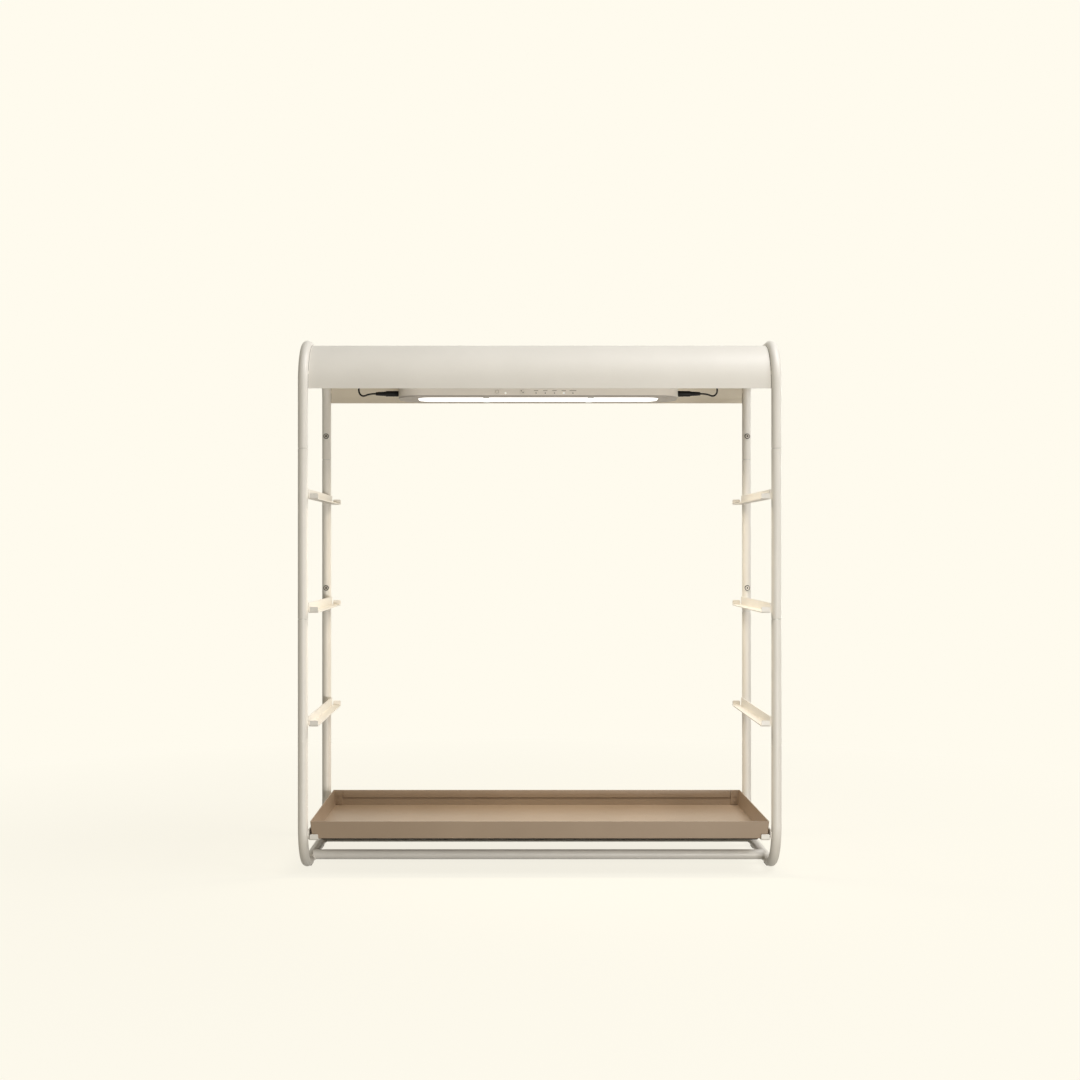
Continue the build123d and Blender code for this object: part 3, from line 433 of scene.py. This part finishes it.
BAR_WELD_START, BAR_WELD_SWEEP, BAR_WELD_STEPS = 167, 206, 60
BAR_WELD_RADIUS, BAR_WELD_RIPPLE, BAR_WELD_GAP = 0.9, 1.4, 0.2
bm = bmesh.new()
for _, side in SIDES:
    for bar_y in BAR_PLACES_Y:
        path = []
        for step in range(BAR_WELD_STEPS + 1):
            turn = math.radians(BAR_WELD_START + BAR_WELD_SWEEP * step / BAR_WELD_STEPS)
            y = bar_y + TUBE_RADIUS * math.cos(turn)
            z = BAR_RISE + TUBE_RADIUS * math.sin(turn)
            x = LOOP_X - math.sqrt(TUBE_RADIUS**2 - z**2) - BAR_WELD_GAP
            path.append((side * x, y, BOTTOM_AXIS_Z + z))
        bead(bm, path, BAR_WELD_RADIUS, BAR_WELD_RIPPLE)
add_piece("crossbar_welds", mesh_from("crossbar_welds", bm), finishes["cream_paint"], "frame")

LEDGE_WELD_X, LEDGE_WELD_OUT, LEDGE_WELD_RISE = 291.8, 0.3, 2.6
LEDGE_WELD_PITCH, LEDGE_WELD_STEPS = 0.45, 20
LEDGE_WELD_RADIUS, LEDGE_WELD_RIPPLE = 0.7, 1.7
bm = bmesh.new()
for _, side in SIDES:
    for end in (-1, 1):
        for level in range(LEDGE_COUNT):
            low = FIRST_LEDGE_Z + LEDGE_PITCH * level + LEDGE_WELD_RISE
            path = [
                (side * LEDGE_WELD_X, end * (LOOP_Y + LEDGE_WELD_OUT), low + LEDGE_WELD_PITCH * step)
                for step in range(LEDGE_WELD_STEPS + 1)
            ]
            bead(bm, path, LEDGE_WELD_RADIUS, LEDGE_WELD_RIPPLE)
add_piece("ledge_welds", mesh_from("ledge_welds", bm), finishes["cream_paint"], "frame")


# Floor and background

PALE = srgb(255, 251, 238)
FLOOR_TONE = srgb(108, 102, 86)
FLOOR_ROUGH = 0.9
FLOOR_RADIUS, FLOOR_SEGMENTS, FLOOR_DROP = 3.0, 64, 0.0002
FADE_START, FADE_STOP = 0.35, 1.3
FADE_NEAR, FADE_FAR = 0.86, 1.0


def seen_directly(tree):
    """One for rays from the camera, a mirror or a glass, and nothing for the light that falls on things."""
    path = tree.nodes.new("ShaderNodeLightPath")
    total = path.outputs["Is Camera Ray"]
    for name in ("Is Glossy Ray", "Is Transmission Ray"):
        add = tree.nodes.new("ShaderNodeMath")
        add.operation = "MAXIMUM"
        tree.links.new(total, add.inputs[0])
        tree.links.new(path.outputs[name], add.inputs[1])
        total = add.outputs["Value"]
    return total


def mix_shaders(tree, share, one, two, output):
    """Gives a tree's output a mix of two shaders, by the share of the second."""
    choice = tree.nodes.new("ShaderNodeMixShader")
    tree.links.new(share, choice.inputs["Fac"])
    tree.links.new(one, choice.inputs[1])
    tree.links.new(two, choice.inputs[2])
    tree.links.new(choice.outputs["Shader"], tree.nodes[output].inputs["Surface"])


world = bpy.data.worlds.new("studio")
scene.world = world
world.use_nodes = True
tree = world.node_tree
ambient = tree.nodes["Background"]
ambient.inputs["Color"].default_value = (1.0, 0.95, 0.79, 1.0)
ambient.inputs["Strength"].default_value = 0.25
backdrop = tree.nodes.new("ShaderNodeBackground")
backdrop.inputs["Color"].default_value = PALE
mix_shaders(
    tree, seen_directly(tree), ambient.outputs["Background"], backdrop.outputs["Background"], "World Output"
)

bm = bmesh.new()
bmesh.ops.create_circle(bm, cap_ends=True, segments=FLOOR_SEGMENTS, radius=FLOOR_RADIUS)
floor = bpy.data.objects.new("floor", mesh_from("floor", bm, False))
floor.location.z = -FLOOR_DROP
scene.collection.objects.link(floor)

# Near the object the floor shows its shadow, and further out it fades into the background
material, tree, shader = new_material("floor_paper")
shader.inputs["Roughness"].default_value = FLOOR_ROUGH
tone = tree.nodes.new("ShaderNodeMix")
tone.data_type = "RGBA"
tone.inputs["A"].default_value = FLOOR_TONE
tone.inputs["B"].default_value = PALE
tree.links.new(seen_directly(tree), tone.inputs["Factor"])
tree.links.new(tone.outputs["Result"], shader.inputs["Base Color"])
glow = tree.nodes.new("ShaderNodeEmission")
glow.inputs["Color"].default_value = PALE
place = tree.nodes.new("ShaderNodeTexCoord")
gap = tree.nodes.new("ShaderNodeVectorMath")
gap.operation = "LENGTH"
tree.links.new(place.outputs["Object"], gap.inputs[0])
share = tree.nodes.new("ShaderNodeMath")
share.operation = "MULTIPLY"
tree.links.new(seen_directly(tree), share.inputs[0])
fade = map_range(tree, gap.outputs["Value"], FADE_START, FADE_STOP, FADE_NEAR, FADE_FAR)
tree.links.new(fade, share.inputs[1])
mix_shaders(
    tree, share.outputs["Value"], shader.outputs["BSDF"], glow.outputs["Emission"], "Material Output"
)
paint(floor, material)


# Lights and camera


def area_light(name, place, target, width, height, power, colour):
    """A soft light at a place, turned towards a target."""
    data = bpy.data.lights.new(name, "AREA")
    data.shape = "RECTANGLE"
    data.size = width
    data.size_y = height
    data.energy = power
    data.color = colour
    light = bpy.data.objects.new(name, data)
    light.location = place
    light.rotation_euler = (Vector(target) - Vector(place)).to_track_quat("-Z", "Y").to_euler()
    scene.collection.objects.link(light)
    return light


MIDDLE = (0.0, 0.0, 0.35)
area_light("key", (1.1, -0.45, 2.2), MIDDLE, 1.2, 1.2, 32.0, (0.945, 0.96, 1.0))
area_light("front", (0.5, -1.8, 0.06), MIDDLE, 0.6, 0.1, 15.6, (1.0, 0.99, 0.97))
area_light("fill", (-2.0, -0.6, 0.6), MIDDLE, 0.9, 0.9, 0.8, (1.0, 0.98, 0.94))
area_light("back", (1.5, 1.4, 0.5), MIDDLE, 0.8, 0.8, 7.0, (1.0, 0.98, 0.95))

# The light that the panel's diffuser throws down
GLOW_X, GLOW_Y, GLOW_Z = 0.015, -0.01, 0.609
panel_glow = area_light(
    "panel_glow", (GLOW_X, GLOW_Y, GLOW_Z), (GLOW_X, GLOW_Y, 0.0), 0.32, 0.06, 1.38, (1.0, 0.89, 0.72)
)
panel_glow.data.spread = math.radians(142)
panel_glow.visible_camera = False

camera_data = bpy.data.cameras.new("camera")
camera_data.lens = 52.2
camera_data.sensor_width = 36.0
camera_data.shift_x = 0.025
camera_data.shift_y = 0.0074
camera = bpy.data.objects.new("camera", camera_data)
camera.location = (-0.0336, -2.099, 0.4116)
camera.rotation_euler = (math.radians(90), 0.0, 0.0)
scene.collection.objects.link(camera)
scene.camera = camera
scene.view_settings.view_transform = "Standard"
